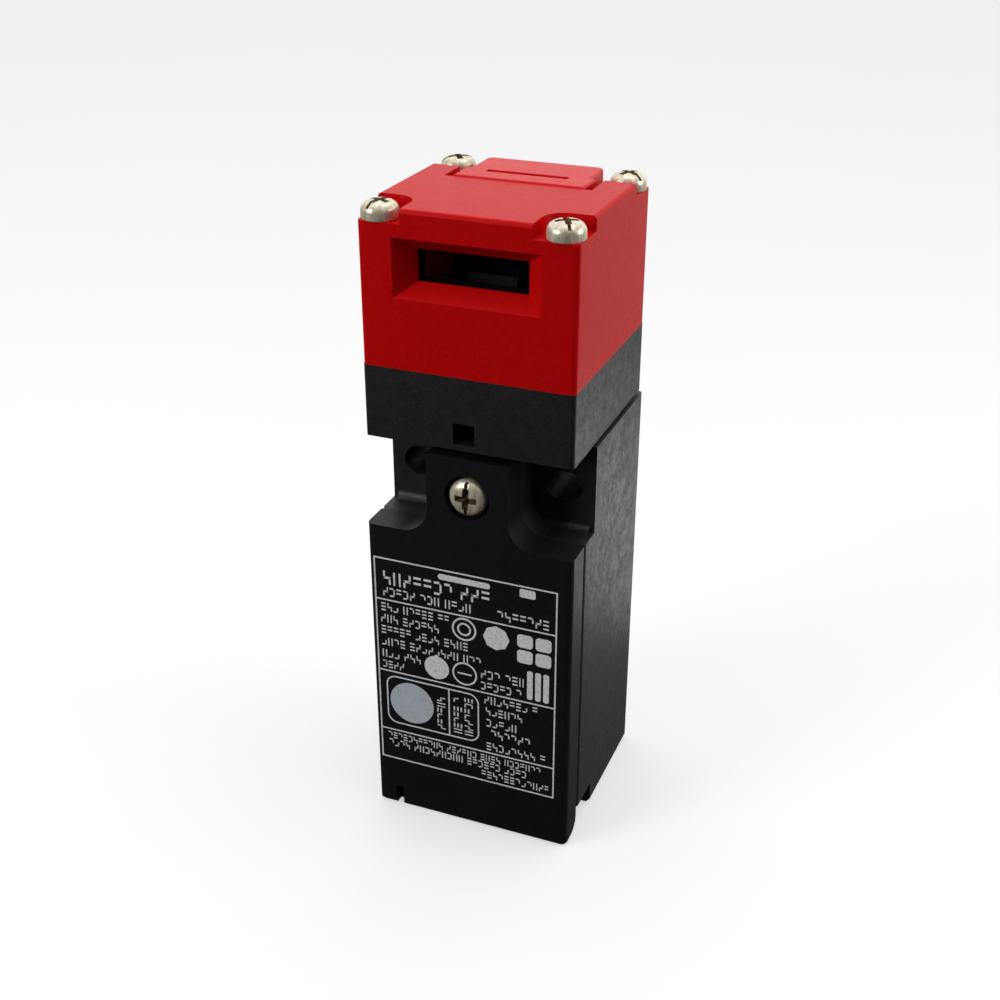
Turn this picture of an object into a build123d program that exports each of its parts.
from build123d import *
import os
from math import cos, radians, sin

# Key-operated safety-door switch: a red key head on a black base, over a black case with a hinged cover.
# Millimetres, +Z up. The front key slot and the wiring cover face -Y.
# The origin is the centre of the footprint, at the bottom of the case.

# ---- case and cover ----
HALF_W = 15.0              # half the 30 mm body width
FRONT_Y = -14.5            # front face of the cover
REAR_Y = 15.0              # mounting face of the case
SEAM_Y = -9.6              # joint between cover and case
WALL = 1.8
CASE_TOP = 60.45
COVER_TOP = 59.8
NECK_Z = 47.7              # floor of the two mounting recesses
NECK_Y = -5.6              # face that the mounting screws clamp on
TONGUE_HALF = 5.8          # half width of the centre tongue between the recesses
TONGUE_R = 4.0             # hollow fillet at the foot of the tongue
NECK_FOOT_R = 1.2          # hollow fillet where the recess floor meets the clamping face
ROOM_HALF = 13.2           # half width of the room inside the case
ROOM_REAR = 13.0
ROOM_BOTTOM = 9.0
ROOM_TOP = 46.1
CONDUIT_R = 10.0           # outer radius of an M20 conduit thread
CONDUIT_Y = 2.6
SLOT_X = 10.5              # mounting slots, 21 mm apart
SLOT_Z = 54.0
SLOT_R = 2.15
SLOT_LENGTH = 5.3
BACK_HOLLOW_HALF = 5.0     # hollow in the mounting face, behind the plunger
BACK_HOLLOW_Y = 8.0
BACK_HOLLOW_BOTTOM = 49.5
BACK_HOLLOW_TOP = 58.5
STEM_BORE_R = 2.6          # the plunger's way down through the neck
NOTCH_X = -11.5            # pry notch in the cover's lower edge
NOTCH_HALF = 0.6
NOTCH_DEPTH = 1.5
NOTCH_TOP = 3.3
SEAL_OUT = 14.4            # cover gasket's outer half width
SEAL_W = 0.8
SEAL_T = 0.8
SEAL_BOTTOM = 3.7
SEAL_TOP = 47.2

# ---- cover hinge ----
HINGE_Y = -6.5
HINGE_Z = 1.75
HINGE_PIN_R = 0.70
HINGE_BORE_R = 0.75
HINGE_PIN_IN = 8.4
HINGE_PIN_OUT = 13.2
EAR_IN = 11.3
EAR_OUT = 13.3
EAR_R = 1.55
HINGE_POCKET_IN = 11.1
HINGE_POCKET_REAR = -3.5
HINGE_POCKET_TOP = 3.6
COVER_RELIEF_Y = -8.7      # the case stands back here, clear of the cover's lower edge

# ---- cover screw ----
COVER_SCREW_Z = 54.2
COVER_SCREW_R = 1.25
COVER_SCREW_TIP = -4.4
COVER_SEAT_Y = -13.0
COVER_HEAD_R = 2.65
COVER_HEAD_H = 2.0
COVER_HEAD_SINK_R = 3.25
RETAINER_R = 2.6
RETAINER_T = 0.7
INSERT_R = 2.1
INSERT_BORE_R = 1.55

# ---- head ----
HEAD_HALF = 14.65
HEAD_FRONT = -14.15
HEAD_REAR = 14.8
HEAD_BOTTOM = 60.9
HEAD_SPLIT = 71.0          # joint between the black base and the red cover
HEAD_TOP = 92.0
BASE_FLOOR = 63.4
BASE_ROOM_HALF = 9.2
BASE_POCKET_IN = -1.95     # small square pocket on the base's front, a little left of centre
BASE_POCKET_OUT = 1.05
BASE_POCKET_Z = 61.65
BASE_POCKET_DEPTH = 4.0
BASE_SCREW_X = 6.6
BASE_SCREW_FRONT = -2.8
BASE_SCREW_REAR = 8.6
BASE_SCREW_R = 1.1
BASE_SCREW_HOLE_R = 1.3
BASE_SCREW_TIP = 57.0
HEAD_SCREW_PITCH = 12.3    # half pitch of the four head screws
HEAD_SCREW_Y = 0.25
HEAD_SCREW_SEAT = 90.1
HEAD_SCREW_R = 1.4
HEAD_SCREW_END = 62.5
SCREW_HEAD_R = 2.44
SCREW_HEAD_H = 2.3
POCKET = 6.3               # square corner pocket for a screw head
POCKET_IN = 8.7            # inner side of the corner pockets
POCKET_R = 2.9
BAY_HALF = 8.0             # room for the cam
BAY_FRONT = -9.4
BAY_REAR = 12.0
BAY_TOP = 87.2
SIDE_ROOM_FRONT = -7.0     # hollows beside the bay that keep the walls even
SIDE_ROOM_REAR = 7.6
SIDE_ROOM_TOP = 88.0

# ---- key slots, front and top, both the same distance from the cam axis ----
KEY_HALF_W = 7.5
KEY_HALF_H = 2.15
FRONT_SLOT_Z = 84.45
TOP_SLOT_Y = 7.25
FUNNEL_HALF_W = 9.95
FUNNEL_HALF_H = 3.92
FUNNEL_DEPTH = 2.5
GUIDE_FRONT = -11.4        # black guide behind the funnel's throat
GUIDE_HALF = 9.3
GUIDE_BOTTOM = 80.6
GUIDE_FIT = 0.03

# ---- slot cap ----
CAP_TOP = 92.2
CAP_HALF = 9.15
CAP_REAR_HALF = 8.45
CAP_FRONT = 3.3
CAP_REAR = 14.3
CAP_BED = 89.7
CAP_BED_HALF = 10.3
PRY_HALF = 5.75

# ---- cam and plunger ----
CAM_Y = 1.25
CAM_Z = 78.45
CAM_R = 7.3
CAM_TURN = 45.0
TRAVEL = 2.2
CAM_GAP = 0.3
CAM_PLATE_HALF = 3.5
HUB_R = 3.2
SHAFT_R = 1.5
SHAFT_HALF = 10.8
RIB_OUT = 10.4             # outer face of the ribs that carry the shaft
PLUNGER_R = 2.0
PLUNGER_TIP_R = 1.5
PLUNGER_END = 57.65
COLLAR_Z = 67.4
RUNNING = 0.05             # radial clearance of a running fit

# ---- switch block ----
BLOCK_HALF = 12.7
BLOCK_FRONT = -6.0
BLOCK_REAR = 12.8
BLOCK_BOTTOM = 19.6
BLOCK_TOP = 46.0
CELL_HALF = 8.6            # room for the contacts
CELL_FRONT = -2.0
CELL_BOTTOM = 21.4
CELL_TOP = 44.4
CARRIER_HALF = 3.0
CARRIER_DEPTH = 2.2
CARRIER_BOTTOM = 24.9
CARRIER_TOP = 42.0
STEM_R = 1.9
BRIDGE_T = 0.7
BRIDGE_HALF = 8.0
CONTACT_X = 6.4
CONTACT_R = 1.0
CONTACT_H = 0.4
CONTACT_GAP = 0.05         # left between closed contacts
NC_BRIDGE_Z = 37.0         # safety contact: closed with the key in
NO_BRIDGE_Z = 28.0         # signal contact: closed with the key out
STRIP_T = 0.8
TERMINAL_X = 7.4
TERMINAL_R = 1.25
BLOCK_SCREW_X = 10.7
BLOCK_SCREW_Z = 33.8
BLOCK_SCREW_R = 0.9
BLOCK_SCREW_END = 13.7
BOSS_FRONT = 9.5           # bosses on the case that the block stands on
BOSS_R = 1.5
BARRIER_REACH = 4.5        # how far the barriers between the terminals stand out
BARRIER_HALF_T = 0.6
BARRIER_GAP = 3.2          # left free each side of the block screws


def block(x0, x1, y0, y1, z0, z1):
    """Box between two corners."""
    return Pos((x0 + x1) / 2, (y0 + y1) / 2, (z0 + z1) / 2) * Box(x1 - x0, y1 - y0, z1 - z0)


def rod_x(y, z, x0, x1, r):
    return Pos((x0 + x1) / 2, y, z) * Rot(0, 90, 0) * Cylinder(r, x1 - x0)


def rod_y(x, z, y0, y1, r):
    return Pos(x, (y0 + y1) / 2, z) * Rot(90, 0, 0) * Cylinder(r, y1 - y0)


def rod_z(x, y, z0, z1, r):
    return Pos(x, y, (z0 + z1) / 2) * Cylinder(r, z1 - z0)


def edges_near(part, axis, *places):
    """Edges along an axis, each with its middle within 0.05 mm of one of the places; None is any value."""
    found = ShapeList()
    for edge in part.edges().filter_by(axis):
        c = edge.center(CenterOf.MASS)
        for place in places:
            if all(want is None or abs(have - want) < 0.05 for have, want in zip((c.X, c.Y, c.Z), place)):
                found.append(edge)
                break
    return found


def rounded_block(x0, x1, y0, y1, z0, z1, r):
    """Box with its upright edges rounded."""
    body = block(x0, x1, y0, y1, z0, z1)
    return fillet(body.edges().filter_by(Axis.Z), r)


def coil(x, y, z0, z1, radius, wire_r, turns):
    """Round-wire compression spring standing between two heights."""
    height = z1 - z0 - 2 * wire_r
    path = Pos(x, y, z0 + wire_r) * Helix(height / turns, height, radius)
    section = Plane(origin=path @ 0, z_dir=path % 0) * Circle(wire_r)
    return sweep(section, path=path)


def recess_cut(depth_from, depth_to, z_top):
    """Both mounting recesses beside the tongue, with a round foot."""
    cut = block(-HALF_W - 1, HALF_W + 1, depth_from, depth_to, NECK_Z, z_top)
    tongue = block(-TONGUE_HALF, TONGUE_HALF, depth_from - 1, depth_to + 1, NECK_Z - 1, z_top + 1)
    for side in (-1, 1):
        inner = side * TONGUE_HALF
        outer = side * (TONGUE_HALF + TONGUE_R)
        foot = block(min(inner, outer), max(inner, outer), depth_from - 1, depth_to + 1,
                     NECK_Z - 1, NECK_Z + TONGUE_R)
        tongue += foot - rod_y(outer, NECK_Z + TONGUE_R, depth_from - 2, depth_to + 2, TONGUE_R)
    return cut - tongue


def neck_foot():
    """Hollow fillet along the rear of both recess floors, clear of the tongue's own fillets."""
    y0 = NECK_Y - NECK_FOOT_R
    foot = block(-HALF_W + 0.7, HALF_W - 0.7, y0, NECK_Y + 0.2, NECK_Z - 0.2, NECK_Z + NECK_FOOT_R)
    foot -= rod_x(y0, NECK_Z + NECK_FOOT_R, -HALF_W, HALF_W, NECK_FOOT_R)
    return foot


def slot_cut(x):
    """One slotted mounting hole through the neck, level and open at both faces."""
    reach = (SLOT_LENGTH - 2 * SLOT_R) / 2
    y0 = NECK_Y - 1
    y1 = REAR_Y + 1
    cut = block(x - reach, x + reach, y0, y1, SLOT_Z - SLOT_R, SLOT_Z + SLOT_R)
    for end in (-reach, reach):
        cut += rod_y(x + end, SLOT_Z, y0, y1, SLOT_R)
    return cut


def base_screw_places():
    return [(x, y) for x in (-BASE_SCREW_X, BASE_SCREW_X) for y in (BASE_SCREW_FRONT, BASE_SCREW_REAR)]


def head_screw_places():
    return [(sx * HEAD_SCREW_PITCH, HEAD_SCREW_Y + sy * HEAD_SCREW_PITCH) for sx in (-1, 1) for sy in (-1, 1)]


def make_case():
    body = block(-HALF_W, HALF_W, SEAM_Y, REAR_Y, 0, CASE_TOP)
    body = fillet(body.edges().filter_by(Axis.Z), 0.7)
    rear_foot = edges_near(body, Axis.X, (None, REAR_Y, 0))
    body = chamfer(rear_foot, 0.6)
    body -= block(-ROOM_HALF, ROOM_HALF, SEAM_Y - 1, ROOM_REAR, ROOM_BOTTOM, ROOM_TOP)
    body -= rod_z(0, CONDUIT_Y, -1, ROOM_BOTTOM + 1, CONDUIT_R)
    body -= recess_cut(SEAM_Y - 1, NECK_Y, CASE_TOP + 1)
    body += neck_foot()
    for x in (-SLOT_X, SLOT_X):
        body -= slot_cut(x)
    body -= rod_z(0, CAM_Y, ROOM_TOP - 1, CASE_TOP + 1, STEM_BORE_R)
    body -= rod_y(0, COVER_SCREW_Z, SEAM_Y - 1, COVER_SCREW_TIP + 0.8, INSERT_R)
    body -= block(-BACK_HOLLOW_HALF, BACK_HOLLOW_HALF, BACK_HOLLOW_Y, REAR_Y + 1,
                  BACK_HOLLOW_BOTTOM, BACK_HOLLOW_TOP)
    for x, y in base_screw_places():
        body -= rod_z(x, y, BASE_SCREW_TIP - 0.1, CASE_TOP + 1, BASE_SCREW_R)
    # hinge pockets, and the step that clears the cover's lower edge
    body -= block(-HALF_W - 1, HALF_W + 1, SEAM_Y - 1, COVER_RELIEF_Y, -1, HINGE_POCKET_TOP)
    for side in (-1, 1):
        x0, x1 = sorted((side * HINGE_POCKET_IN, side * (HALF_W + 1)))
        body -= block(x0, x1, SEAM_Y - 1, HINGE_POCKET_REAR, -1, HINGE_POCKET_TOP)
        x0, x1 = sorted((side * HINGE_PIN_IN, side * (HINGE_POCKET_IN + 1)))
        body -= rod_x(HINGE_Y, HINGE_Z, x0, x1, HINGE_PIN_R)
        boss_x = side * BLOCK_SCREW_X
        body += rod_y(boss_x, BLOCK_SCREW_Z, BOSS_FRONT, ROOM_REAR + 0.5, BOSS_R)
        body -= rod_y(boss_x, BLOCK_SCREW_Z, BOSS_FRONT - 0.5, BLOCK_SCREW_END + 0.2, BLOCK_SCREW_R)
    return body


def make_cover():
    body = block(-HALF_W, HALF_W, FRONT_Y, SEAM_Y, 0, COVER_TOP)
    foot = edges_near(body, Axis.X, (None, SEAM_Y, 0))
    body = fillet(foot, 2.5)
    body -= recess_cut(FRONT_Y - 1, SEAM_Y + 1, COVER_TOP + 1)
    front = edges_near(body, Axis.Z, (-HALF_W, FRONT_Y, None), (HALF_W, FRONT_Y, None))
    body = fillet(front, 0.9)
    body = chamfer(edges_near(body, Axis.X, (None, FRONT_Y, 0)), 0.4)
    body -= block(-13.0, 13.0, FRONT_Y + WALL, SEAM_Y + 1, 5.0, 45.9)
    body -= gasket_ring(0.0)
    body -= rod_y(0, COVER_SCREW_Z, FRONT_Y - 1, COVER_SEAT_Y, COVER_HEAD_SINK_R)
    body -= rod_y(0, COVER_SCREW_Z, FRONT_Y, SEAM_Y + 1, COVER_SCREW_R + 0.3)
    body -= rod_y(0, COVER_SCREW_Z, SEAM_Y - RETAINER_T - 0.3, SEAM_Y + 1, RETAINER_R + 0.3)
    body -= block(NOTCH_X - NOTCH_HALF, NOTCH_X + NOTCH_HALF, FRONT_Y - 1, FRONT_Y + NOTCH_DEPTH,
                  -1, NOTCH_TOP)
    for side in (-1, 1):
        x0, x1 = sorted((side * EAR_IN, side * EAR_OUT))
        ear = block(x0, x1, SEAM_Y - 1.5, HINGE_Y, HINGE_Z - EAR_R, HINGE_Z + EAR_R)
        ear += rod_x(HINGE_Y, HINGE_Z, x0, x1, EAR_R)
        body += ear
        body -= rod_x(HINGE_Y, HINGE_Z, x0 - 0.1, x1 + 0.1, HINGE_BORE_R)
    return body


def gasket_ring(slack):
    """Flat loop in the cover's rim, flush with the seam."""
    half_out = SEAL_OUT - slack
    half_in = SEAL_OUT - SEAL_W + slack
    outer = block(-half_out, half_out, SEAM_Y - SEAL_T, SEAM_Y, SEAL_BOTTOM + slack, SEAL_TOP - slack)
    inner = block(-half_in, half_in, SEAM_Y - SEAL_T - 1, SEAM_Y + 1,
                  SEAL_BOTTOM + SEAL_W - 0.1 - slack, SEAL_TOP - SEAL_W + slack)
    return outer - inner


def make_hinge_pins():
    spans = [sorted((side * HINGE_PIN_IN, side * HINGE_PIN_OUT)) for side in (-1, 1)]
    return Compound(children=[rod_x(HINGE_Y, HINGE_Z, x0, x1, HINGE_PIN_R) for x0, x1 in spans])


def cross_recess(size, depth):
    """Cross with one long slot, cut down from z = 0."""
    arm = size * 0.26
    cut = block(-size, size, -arm / 2, arm / 2, -depth, 1)
    cut += block(-arm / 2, arm / 2, -size * 0.72, size * 0.72, -depth * 1.15, 1)
    return cut


def pan_screw(shank_r, head_r, head_h, length):
    """Pan-head screw pointing down, with its seat at z = 0 and a combination recess."""
    head = rod_z(0, 0, 0, head_h, head_r)
    head = fillet(head.edges().sort_by(Axis.Z)[-1], min(head_h * 0.62, head_r * 0.6))
    screw = head + rod_z(0, 0, -length, 0.2, shank_r)
    screw = chamfer(screw.edges().sort_by(Axis.Z)[0], shank_r * 0.3)
    return screw - Pos(0, 0, head_h) * cross_recess(head_r * 0.74, head_h * 0.42)


def make_cover_screw():
    screw = pan_screw(COVER_SCREW_R, COVER_HEAD_R, COVER_HEAD_H, COVER_SCREW_TIP - COVER_SEAT_Y)
    return Pos(0, COVER_SEAT_Y, COVER_SCREW_Z) * Rot(90, 0, 0) * screw


def make_screw_retainer():
    ring = rod_y(0, COVER_SCREW_Z, SEAM_Y - RETAINER_T - 0.1, SEAM_Y - 0.1, RETAINER_R)
    return ring - rod_y(0, COVER_SCREW_Z, SEAM_Y - 1, SEAM_Y, COVER_SCREW_R)


def make_threaded_insert():
    sleeve = rod_y(0, COVER_SCREW_Z, SEAM_Y + 0.2, COVER_SCREW_TIP + 0.2, INSERT_R)
    return sleeve - rod_y(0, COVER_SCREW_Z, SEAM_Y, COVER_SCREW_TIP + 1, INSERT_BORE_R)


def make_head_gasket():
    sheet = rounded_block(-13.6, 13.6, NECK_Y + 1, 13.6, CASE_TOP, HEAD_BOTTOM, 1.0)
    sheet -= rod_z(0, CAM_Y, CASE_TOP - 1, HEAD_BOTTOM + 1, 4.2)
    for x, y in base_screw_places():
        sheet -= rod_z(x, y, CASE_TOP - 1, HEAD_BOTTOM + 1, BASE_SCREW_HOLE_R)
    return sheet


def make_head_base():
    body = rounded_block(-HEAD_HALF, HEAD_HALF, HEAD_FRONT, HEAD_REAR, HEAD_BOTTOM, HEAD_SPLIT, 0.6)
    body -= block(-BASE_ROOM_HALF, BASE_ROOM_HALF, BAY_FRONT, BAY_REAR, BASE_FLOOR, HEAD_SPLIT + 1)
    body -= rod_z(0, CAM_Y, HEAD_BOTTOM - 1, BASE_FLOOR + 1, PLUNGER_R + RUNNING)
    body -= rod_z(0, CAM_Y, HEAD_BOTTOM - 1, HEAD_BOTTOM + 1.2, 3.6)
    pocket_top = BASE_POCKET_Z + BASE_POCKET_OUT - BASE_POCKET_IN
    body -= block(BASE_POCKET_IN, BASE_POCKET_OUT, HEAD_FRONT - 1, HEAD_FRONT + BASE_POCKET_DEPTH,
                  BASE_POCKET_Z, pocket_top)
    for x, y in base_screw_places():
        body -= rod_z(x, y, HEAD_BOTTOM - 1, BASE_FLOOR + 1, BASE_SCREW_HOLE_R)
    for x, y in head_screw_places():
        body -= rod_z(x, y, HEAD_SCREW_END - 0.3, HEAD_SPLIT + 1, HEAD_SCREW_R)
    # posts that hold the cam shaft up in its slots
    for side in (-1, 1):
        x0, x1 = sorted((side * (BAY_HALF + 0.2), side * (RIB_OUT - 0.2)))
        body += block(x0, x1, CAM_Y - SHAFT_R, CAM_Y + SHAFT_R, BASE_FLOOR - 1, CAM_Z - SHAFT_R - 0.05)
    return body


def make_base_screws():
    screw = pan_screw(BASE_SCREW_R, 2.0, 1.4, BASE_FLOOR - BASE_SCREW_TIP)
    return Compound(children=[Pos(x, y, BASE_FLOOR) * screw for x, y in base_screw_places()])


def funnel():
    """Tapered mouth of the front key slot."""
    face = Plane(origin=(0, HEAD_FRONT, FRONT_SLOT_Z), x_dir=(-1, 0, 0), z_dir=(0, 1, 0))
    mouth = face * Rectangle(2 * FUNNEL_HALF_W, 2 * FUNNEL_HALF_H)
    throat = face.offset(FUNNEL_DEPTH) * Rectangle(2 * KEY_HALF_W, 2 * KEY_HALF_H)
    return loft([mouth, throat])


def corner_pocket(sx, sy):
    """Pocket for one head screw, open to both outer faces; the rear ones run into the cap's bed."""
    edge_y = HEAD_FRONT if sy < 0 else HEAD_REAR
    x_in = sx * POCKET_IN
    y_in = edge_y - sy * POCKET
    x0, x1 = sorted((x_in, sx * (HEAD_HALF + 4)))
    y0, y1 = sorted((y_in, edge_y + sy * 4))
    cut = block(x0, x1, y0, y1, HEAD_SCREW_SEAT, HEAD_TOP + 1)
    if sy > 0:
        return cut
    return fillet(edges_near(cut, Axis.Z, (x_in, y_in, None)), POCKET_R)


def make_head_cover():
    body = rounded_block(-HEAD_HALF, HEAD_HALF, HEAD_FRONT, HEAD_REAR, HEAD_SPLIT, HEAD_TOP, 0.8)
    body = fillet(body.faces().sort_by(Axis.Z)[-1].edges(), 0.6)
    body -= block(-BAY_HALF, BAY_HALF, BAY_FRONT, BAY_REAR, HEAD_SPLIT - 1, BAY_TOP)
    for side in (-1, 1):
        x0, x1 = sorted((side * RIB_OUT, side * (HEAD_HALF - 2.0)))
        body -= block(x0, x1, SIDE_ROOM_FRONT, SIDE_ROOM_REAR, HEAD_SPLIT - 1, SIDE_ROOM_TOP)
        # slot that takes the cam shaft from below
        x0, x1 = sorted((side * (BAY_HALF - 0.5), side * (RIB_OUT + 0.5)))
        body -= block(x0, x1, CAM_Y - SHAFT_R - 0.03, CAM_Y + SHAFT_R + 0.03, HEAD_SPLIT - 1, CAM_Z)
        body -= rod_x(CAM_Y, CAM_Z, x0, x1, SHAFT_R + 0.03)
    z0 = FRONT_SLOT_Z - KEY_HALF_H
    z1 = FRONT_SLOT_Z + KEY_HALF_H
    body -= block(-KEY_HALF_W, KEY_HALF_W, HEAD_FRONT - 1, BAY_FRONT + 1, z0, z1)
    body -= funnel()
    body -= block(-GUIDE_HALF, GUIDE_HALF, GUIDE_FRONT, BAY_FRONT + 1, GUIDE_BOTTOM, BAY_TOP)
    body -= block(-KEY_HALF_W, KEY_HALF_W, TOP_SLOT_Y - KEY_HALF_H, TOP_SLOT_Y + KEY_HALF_H,
                  BAY_TOP - 1, HEAD_TOP)
    pocket_y = HEAD_REAR - POCKET
    body -= block(-CAP_BED_HALF, CAP_BED_HALF, CAP_FRONT - 0.15, pocket_y + 0.1, CAP_BED, HEAD_TOP + 1)
    body -= block(-POCKET_IN - 0.1, POCKET_IN + 0.1, pocket_y - 1, HEAD_REAR + 1, CAP_BED, HEAD_TOP + 1)
    for sx in (-1, 1):
        for sy in (-1, 1):
            body -= corner_pocket(sx, sy)
    for x, y in head_screw_places():
        body -= rod_z(x, y, HEAD_SPLIT - 1, HEAD_SCREW_SEAT + 1, HEAD_SCREW_R + 0.2)
    return body


def make_key_guide():
    """Black frame behind the red funnel that guides the key's blade."""
    frame = block(-GUIDE_HALF + GUIDE_FIT, GUIDE_HALF - GUIDE_FIT, GUIDE_FRONT + GUIDE_FIT, BAY_FRONT,
                  GUIDE_BOTTOM + GUIDE_FIT, BAY_TOP - GUIDE_FIT)
    return frame - block(-KEY_HALF_W, KEY_HALF_W, GUIDE_FRONT - 1, BAY_FRONT + 1,
                         FRONT_SLOT_Z - KEY_HALF_H, FRONT_SLOT_Z + KEY_HALF_H)


def make_head_screws():
    screw = pan_screw(HEAD_SCREW_R, SCREW_HEAD_R, SCREW_HEAD_H, HEAD_SCREW_SEAT - HEAD_SCREW_END)
    turns = (25, -20, 70, 10)
    places = zip(head_screw_places(), turns)
    return Compound(children=[Pos(x, y, HEAD_SCREW_SEAT) * Rot(0, 0, a) * screw for (x, y), a in places])


def make_slot_cap():
    plate_z = CAP_BED + 0.1
    body = block(-CAP_HALF, CAP_HALF, CAP_FRONT, 8.1, plate_z, CAP_TOP)
    body += block(-CAP_REAR_HALF, CAP_REAR_HALF, 8.0, CAP_REAR, plate_z, CAP_TOP)
    rear = edges_near(body, Axis.Z, (-CAP_REAR_HALF, CAP_REAR, None), (CAP_REAR_HALF, CAP_REAR, None))
    body = fillet(rear, 1.0)
    body = fillet(body.faces().sort_by(Axis.Z)[-1].edges(), 0.35)
    play = 0.12
    body += block(-KEY_HALF_W + play, KEY_HALF_W - play, TOP_SLOT_Y - KEY_HALF_H + play,
                  TOP_SLOT_Y + KEY_HALF_H - play, BAY_TOP + 0.1, plate_z + 0.5)
    return body - block(-PRY_HALF, PRY_HALF, 6.45, 7.55, CAP_TOP - 1.5, CAP_TOP + 1)


def cam_outline():
    """Cam seen from the side, about its axis: steady arc, falling spiral, tooth, and the key's notch."""
    def at(r, angle):
        return (r * cos(radians(angle)), r * sin(radians(angle)))

    low_r = CAM_R - TRAVEL
    tooth_r = CAM_R + 0.2
    root_r = 3.6
    steps = 6
    spiral = [at(CAM_R - TRAVEL * i / steps, 270 + CAM_TURN * i / steps) for i in range(steps + 1)]
    edges = [
        ThreePointArc(at(CAM_R, 150), at(CAM_R, 210), at(CAM_R, 270)),
        Spline(*spiral),
        ThreePointArc(at(low_r, 315), at(low_r, 330), at(low_r, 345)),
        Line(at(low_r, 345), at(tooth_r, 388)),
        ThreePointArc(at(tooth_r, 388), at(tooth_r, 403), at(tooth_r, 418)),
        Line(at(tooth_r, 418), at(root_r, 422)),
        ThreePointArc(at(root_r, 422), at(root_r, 460), at(root_r, 500)),
        Line(at(root_r, 500), at(CAM_R, 510)),
    ]
    return make_face(Plane.YZ * Wire(edges))


def tooth_bar():
    """The part of the tooth that runs the full width of the key."""
    wedge = Polyline((0, 0), (6.62, 3.52), (5.5, 5.1), (3.97, 6.36), (0, 0))
    return make_face(Plane.YZ * wedge)


def make_cam():
    plate = Pos(-CAM_PLATE_HALF, 0, 0) * extrude(cam_outline(), amount=2 * CAM_PLATE_HALF, dir=(1, 0, 0))
    hub = rod_x(0, 0, -7.2, 7.2, HUB_R)
    bar = Pos(-7.0, 0, 0) * extrude(tooth_bar(), amount=14.0, dir=(1, 0, 0))
    cam = plate + hub + bar
    cam -= rod_x(0, 0, -8, 8, SHAFT_R + RUNNING)
    return Pos(0, CAM_Y, CAM_Z) * cam


def make_cam_shaft():
    return rod_x(CAM_Y, CAM_Z, -SHAFT_HALF, SHAFT_HALF, SHAFT_R)


def make_head_plunger():
    tip = CAM_Z - CAM_R - CAM_GAP
    body = rod_z(0, CAM_Y, PLUNGER_END, COLLAR_Z + 1.2, PLUNGER_R)
    body += rod_z(0, CAM_Y, COLLAR_Z, COLLAR_Z + 1.2, 3.4)
    body += rod_z(0, CAM_Y, COLLAR_Z, tip - PLUNGER_TIP_R, PLUNGER_TIP_R)
    return body + Pos(0, CAM_Y, tip - PLUNGER_TIP_R) * Sphere(PLUNGER_TIP_R)


def make_plunger_spring():
    return coil(0, CAM_Y, BASE_FLOOR + 0.02, COLLAR_Z - 0.02, 2.75, 0.3, 3)


def make_plunger_seal():
    ring = rod_z(0, CAM_Y, HEAD_BOTTOM + 0.05, HEAD_BOTTOM + 1.15, 3.55)
    return ring - rod_z(0, CAM_Y, HEAD_BOTTOM - 1, HEAD_BOTTOM + 2, PLUNGER_R + RUNNING)


def strip_levels():
    """Height of each contact strip's near face, and which way its terminal pad runs."""
    nc = NC_BRIDGE_Z + BRIDGE_T / 2 + 2 * CONTACT_H + TRAVEL + CONTACT_GAP
    no = NO_BRIDGE_Z - BRIDGE_T / 2 - 2 * CONTACT_H - CONTACT_GAP
    return [(nc, 1), (no, -1)]


def terminal_places():
    """Screw centre of each terminal and the direction its pad runs."""
    return [(sx * TERMINAL_X, level + way * 2.8) for level, way in strip_levels() for sx in (-1, 1)]


def fixed_contact(sx, level, way):
    """Bent strip: contact tip inside, terminal pad in front."""
    x0, x1 = sorted((sx * 4.8, sx * 8.0))
    z0, z1 = sorted((level, level + way * STRIP_T))
    strip = block(x0, x1, BLOCK_FRONT - STRIP_T, 2.8, z0, z1)
    x0, x1 = sorted((sx * (TERMINAL_X - 3.0), sx * (TERMINAL_X + 3.0)))
    z0, z1 = sorted((level, level + way * 5.4))
    strip += block(x0, x1, BLOCK_FRONT - STRIP_T, BLOCK_FRONT, z0, z1)
    z0, z1 = sorted((level, level - way * CONTACT_H))
    strip += rod_z(sx * CONTACT_X, CAM_Y, z0, z1, CONTACT_R)
    hole_z = level + way * 2.8
    return strip - rod_y(sx * TERMINAL_X, hole_z, BLOCK_FRONT - 2, BLOCK_FRONT + 1, TERMINAL_R + 0.15)


def make_fixed_contacts(pair):
    level, way = strip_levels()[pair]
    return Compound(children=[fixed_contact(sx, level, way) for sx in (-1, 1)])


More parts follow.
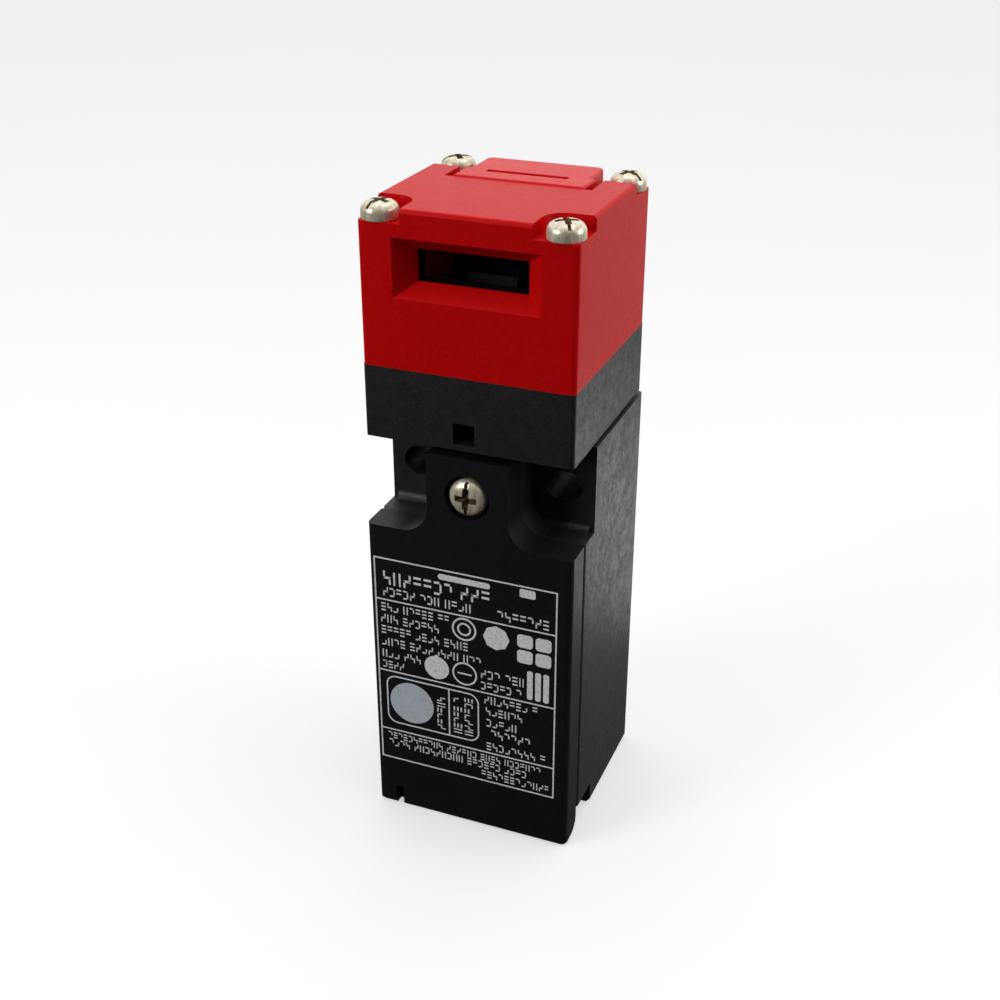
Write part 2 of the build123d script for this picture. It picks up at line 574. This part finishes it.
def make_switch_block():
    body = block(-BLOCK_HALF, BLOCK_HALF, BLOCK_FRONT, BLOCK_REAR, BLOCK_BOTTOM, BLOCK_TOP)
    body -= block(-CELL_HALF, CELL_HALF, CELL_FRONT, BLOCK_REAR + 1, CELL_BOTTOM, CELL_TOP)
    body -= rod_z(0, CAM_Y, CELL_TOP - 1, BLOCK_TOP + 1, STEM_R + 0.1)
    for level, way in strip_levels():
        z0, z1 = sorted((level, level + way * STRIP_T))
        for sx in (-1, 1):
            x0, x1 = sorted((sx * 4.8, sx * 8.0))
            body -= block(x0, x1, BLOCK_FRONT - 1, CELL_FRONT + 1, z0, z1)
    for x, z in terminal_places():
        body -= rod_y(x, z, BLOCK_FRONT - 1, CELL_FRONT - 0.2, TERMINAL_R)
    # barriers between the terminals
    rib_front = BLOCK_FRONT - BARRIER_REACH
    rib_top = BLOCK_TOP - 0.6
    body += block(-0.7, 0.7, rib_front, BLOCK_FRONT, BLOCK_BOTTOM, rib_top)
    body += block(-CELL_HALF, CELL_HALF, rib_front + 1, BLOCK_FRONT,
                  BLOCK_SCREW_Z - BARRIER_HALF_T, BLOCK_SCREW_Z + BARRIER_HALF_T)
    for side in (-1, 1):
        x0, x1 = sorted((side * (BLOCK_HALF - 1.1), side * BLOCK_HALF))
        lower = (BLOCK_BOTTOM, BLOCK_SCREW_Z - BARRIER_GAP)
        upper = (BLOCK_SCREW_Z + BARRIER_GAP, rib_top)
        for z0, z1 in (lower, upper):
            body += block(x0, x1, rib_front, BLOCK_FRONT, z0, z1)
        screw_x = side * BLOCK_SCREW_X
        body -= rod_y(screw_x, BLOCK_SCREW_Z, BLOCK_FRONT - 1, BLOCK_REAR + 1, BLOCK_SCREW_R + 0.1)
        body -= rod_y(screw_x, BLOCK_SCREW_Z, BOSS_FRONT - 0.1, BLOCK_REAR + 1, BOSS_R + 0.1)
    return body


def make_switch_block_back():
    fit = 0.05
    return block(-CELL_HALF + fit, CELL_HALF - fit, 10.9, BLOCK_REAR, CELL_BOTTOM + fit, CELL_TOP - fit)


def make_switch_block_screws():
    screw = pan_screw(BLOCK_SCREW_R, 1.8, 1.3, BLOCK_SCREW_END - BLOCK_FRONT)
    places = [(s * BLOCK_SCREW_X, BLOCK_SCREW_Z) for s in (-1, 1)]
    return Compound(children=[Pos(x, BLOCK_FRONT, z) * Rot(90, 0, 0) * screw for x, z in places])


def make_clamp_washers():
    y0 = BLOCK_FRONT - 2 * STRIP_T
    washers = []
    for x, z in terminal_places():
        plate = block(x - 2.6, x + 2.6, y0, BLOCK_FRONT - STRIP_T, z - 2.6, z + 2.6)
        washers.append(plate - rod_y(x, z, y0 - 1, BLOCK_FRONT, TERMINAL_R + 0.15))
    return Compound(children=washers)


def make_terminal_screws():
    seat = BLOCK_FRONT - 2 * STRIP_T
    screw = pan_screw(TERMINAL_R, 2.5, 1.8, CELL_FRONT - 0.4 - seat)
    return Compound(children=[Pos(x, seat, z) * Rot(90, 0, 0) * screw for x, z in terminal_places()])


def window(bridge_z, way):
    """Opening in the carrier: the bridge at one end, its spring behind it."""
    near = bridge_z - way * BRIDGE_T / 2
    far = bridge_z + way * (BRIDGE_T / 2 + 3.65)
    z0, z1 = sorted((near, far))
    return block(-CARRIER_HALF - 1, CARRIER_HALF + 1, CAM_Y - 1.5, CAM_Y + 1.5, z0, z1)


def make_contact_carrier():
    y0 = CAM_Y - CARRIER_DEPTH
    y1 = CAM_Y + CARRIER_DEPTH
    body = block(-CARRIER_HALF, CARRIER_HALF, y0, y1, CARRIER_BOTTOM, CARRIER_TOP)
    body -= window(NC_BRIDGE_Z, -1)
    body -= window(NO_BRIDGE_Z, 1)
    return body + rod_z(0, CAM_Y, CARRIER_TOP - 0.5, PLUNGER_END - 0.05, STEM_R)


def make_bridge(z, way):
    """Moving contact: a bar with a tip at each end."""
    bar = block(-BRIDGE_HALF, BRIDGE_HALF, CAM_Y - 1.4, CAM_Y + 1.4, z - BRIDGE_T / 2, z + BRIDGE_T / 2)
    z0, z1 = sorted((z, z + way * (BRIDGE_T / 2 + CONTACT_H)))
    for sx in (-1, 1):
        bar += rod_z(sx * CONTACT_X, CAM_Y, z0, z1, CONTACT_R)
    return bar


def make_contact_springs():
    gap = 0.02
    nc_top = NC_BRIDGE_Z - BRIDGE_T / 2
    no_bottom = NO_BRIDGE_Z + BRIDGE_T / 2
    lower = coil(0, CAM_Y, no_bottom + gap, no_bottom + 3.65 - gap, 1.0, 0.17, 4)
    upper = coil(0, CAM_Y, nc_top - 3.65 + gap, nc_top - gap, 1.0, 0.17, 4)
    return Compound(children=[lower, upper])


def make_return_spring():
    return coil(0, CAM_Y, CELL_BOTTOM + 0.02, CARRIER_BOTTOM - 0.02, 1.8, 0.25, 4)


PARTS = {
    "case": make_case,
    "cover": make_cover,
    "cover_gasket": lambda: gasket_ring(0.03),
    "hinge_pins": make_hinge_pins,
    "cover_screw": make_cover_screw,
    "screw_retainer": make_screw_retainer,
    "threaded_insert": make_threaded_insert,
    "head_gasket": make_head_gasket,
    "head_base": make_head_base,
    "head_base_screws": make_base_screws,
    "head_cover": make_head_cover,
    "key_guide": make_key_guide,
    "head_screws": make_head_screws,
    "slot_cap": make_slot_cap,
    "cam": make_cam,
    "cam_shaft": make_cam_shaft,
    "head_plunger": make_head_plunger,
    "plunger_spring": make_plunger_spring,
    "plunger_seal": make_plunger_seal,
    "switch_block": make_switch_block,
    "switch_block_back": make_switch_block_back,
    "switch_block_screws": make_switch_block_screws,
    "nc_fixed_contacts": lambda: make_fixed_contacts(0),
    "no_fixed_contacts": lambda: make_fixed_contacts(1),
    "clamp_washers": make_clamp_washers,
    "terminal_screws": make_terminal_screws,
    "contact_carrier": make_contact_carrier,
    "nc_bridge": lambda: make_bridge(NC_BRIDGE_Z, 1),
    "no_bridge": lambda: make_bridge(NO_BRIDGE_Z, -1),
    "contact_springs": make_contact_springs,
    "return_spring": make_return_spring,
}

os.makedirs("parts", exist_ok=True)
for name, make in PARTS.items():
    export_step(make(), f"parts/{name}.step")
